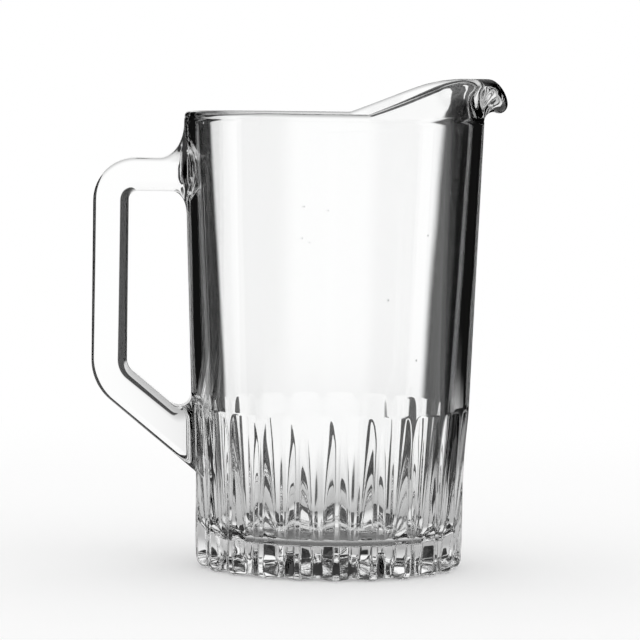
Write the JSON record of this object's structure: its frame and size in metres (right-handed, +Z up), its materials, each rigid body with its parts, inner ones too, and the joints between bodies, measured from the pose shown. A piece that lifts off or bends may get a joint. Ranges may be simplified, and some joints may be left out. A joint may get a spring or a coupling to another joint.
{
  "type": "beer pitcher",
  "caption": "Clear pressed glass pitcher with a fluted foot, a rolled pouring spout and a closed loop handle.",
  "frame": {"origin": "on the axis of the body, in the plane of the table that the pitcher stands on", "axes": "+Z up along the axis of the body, +X towards the pouring spout, -X towards the handle"},
  "size_m": [0.1778, 0.1292, 0.2112],
  "materials": {
    "vessel_glass": "fire polished",
    "handle_glass": "fire polished"
  },
  "bodies": {
    "root": {"vessel": "vessel_glass", "handle": "handle_glass"}
  },
  "joints": []
}
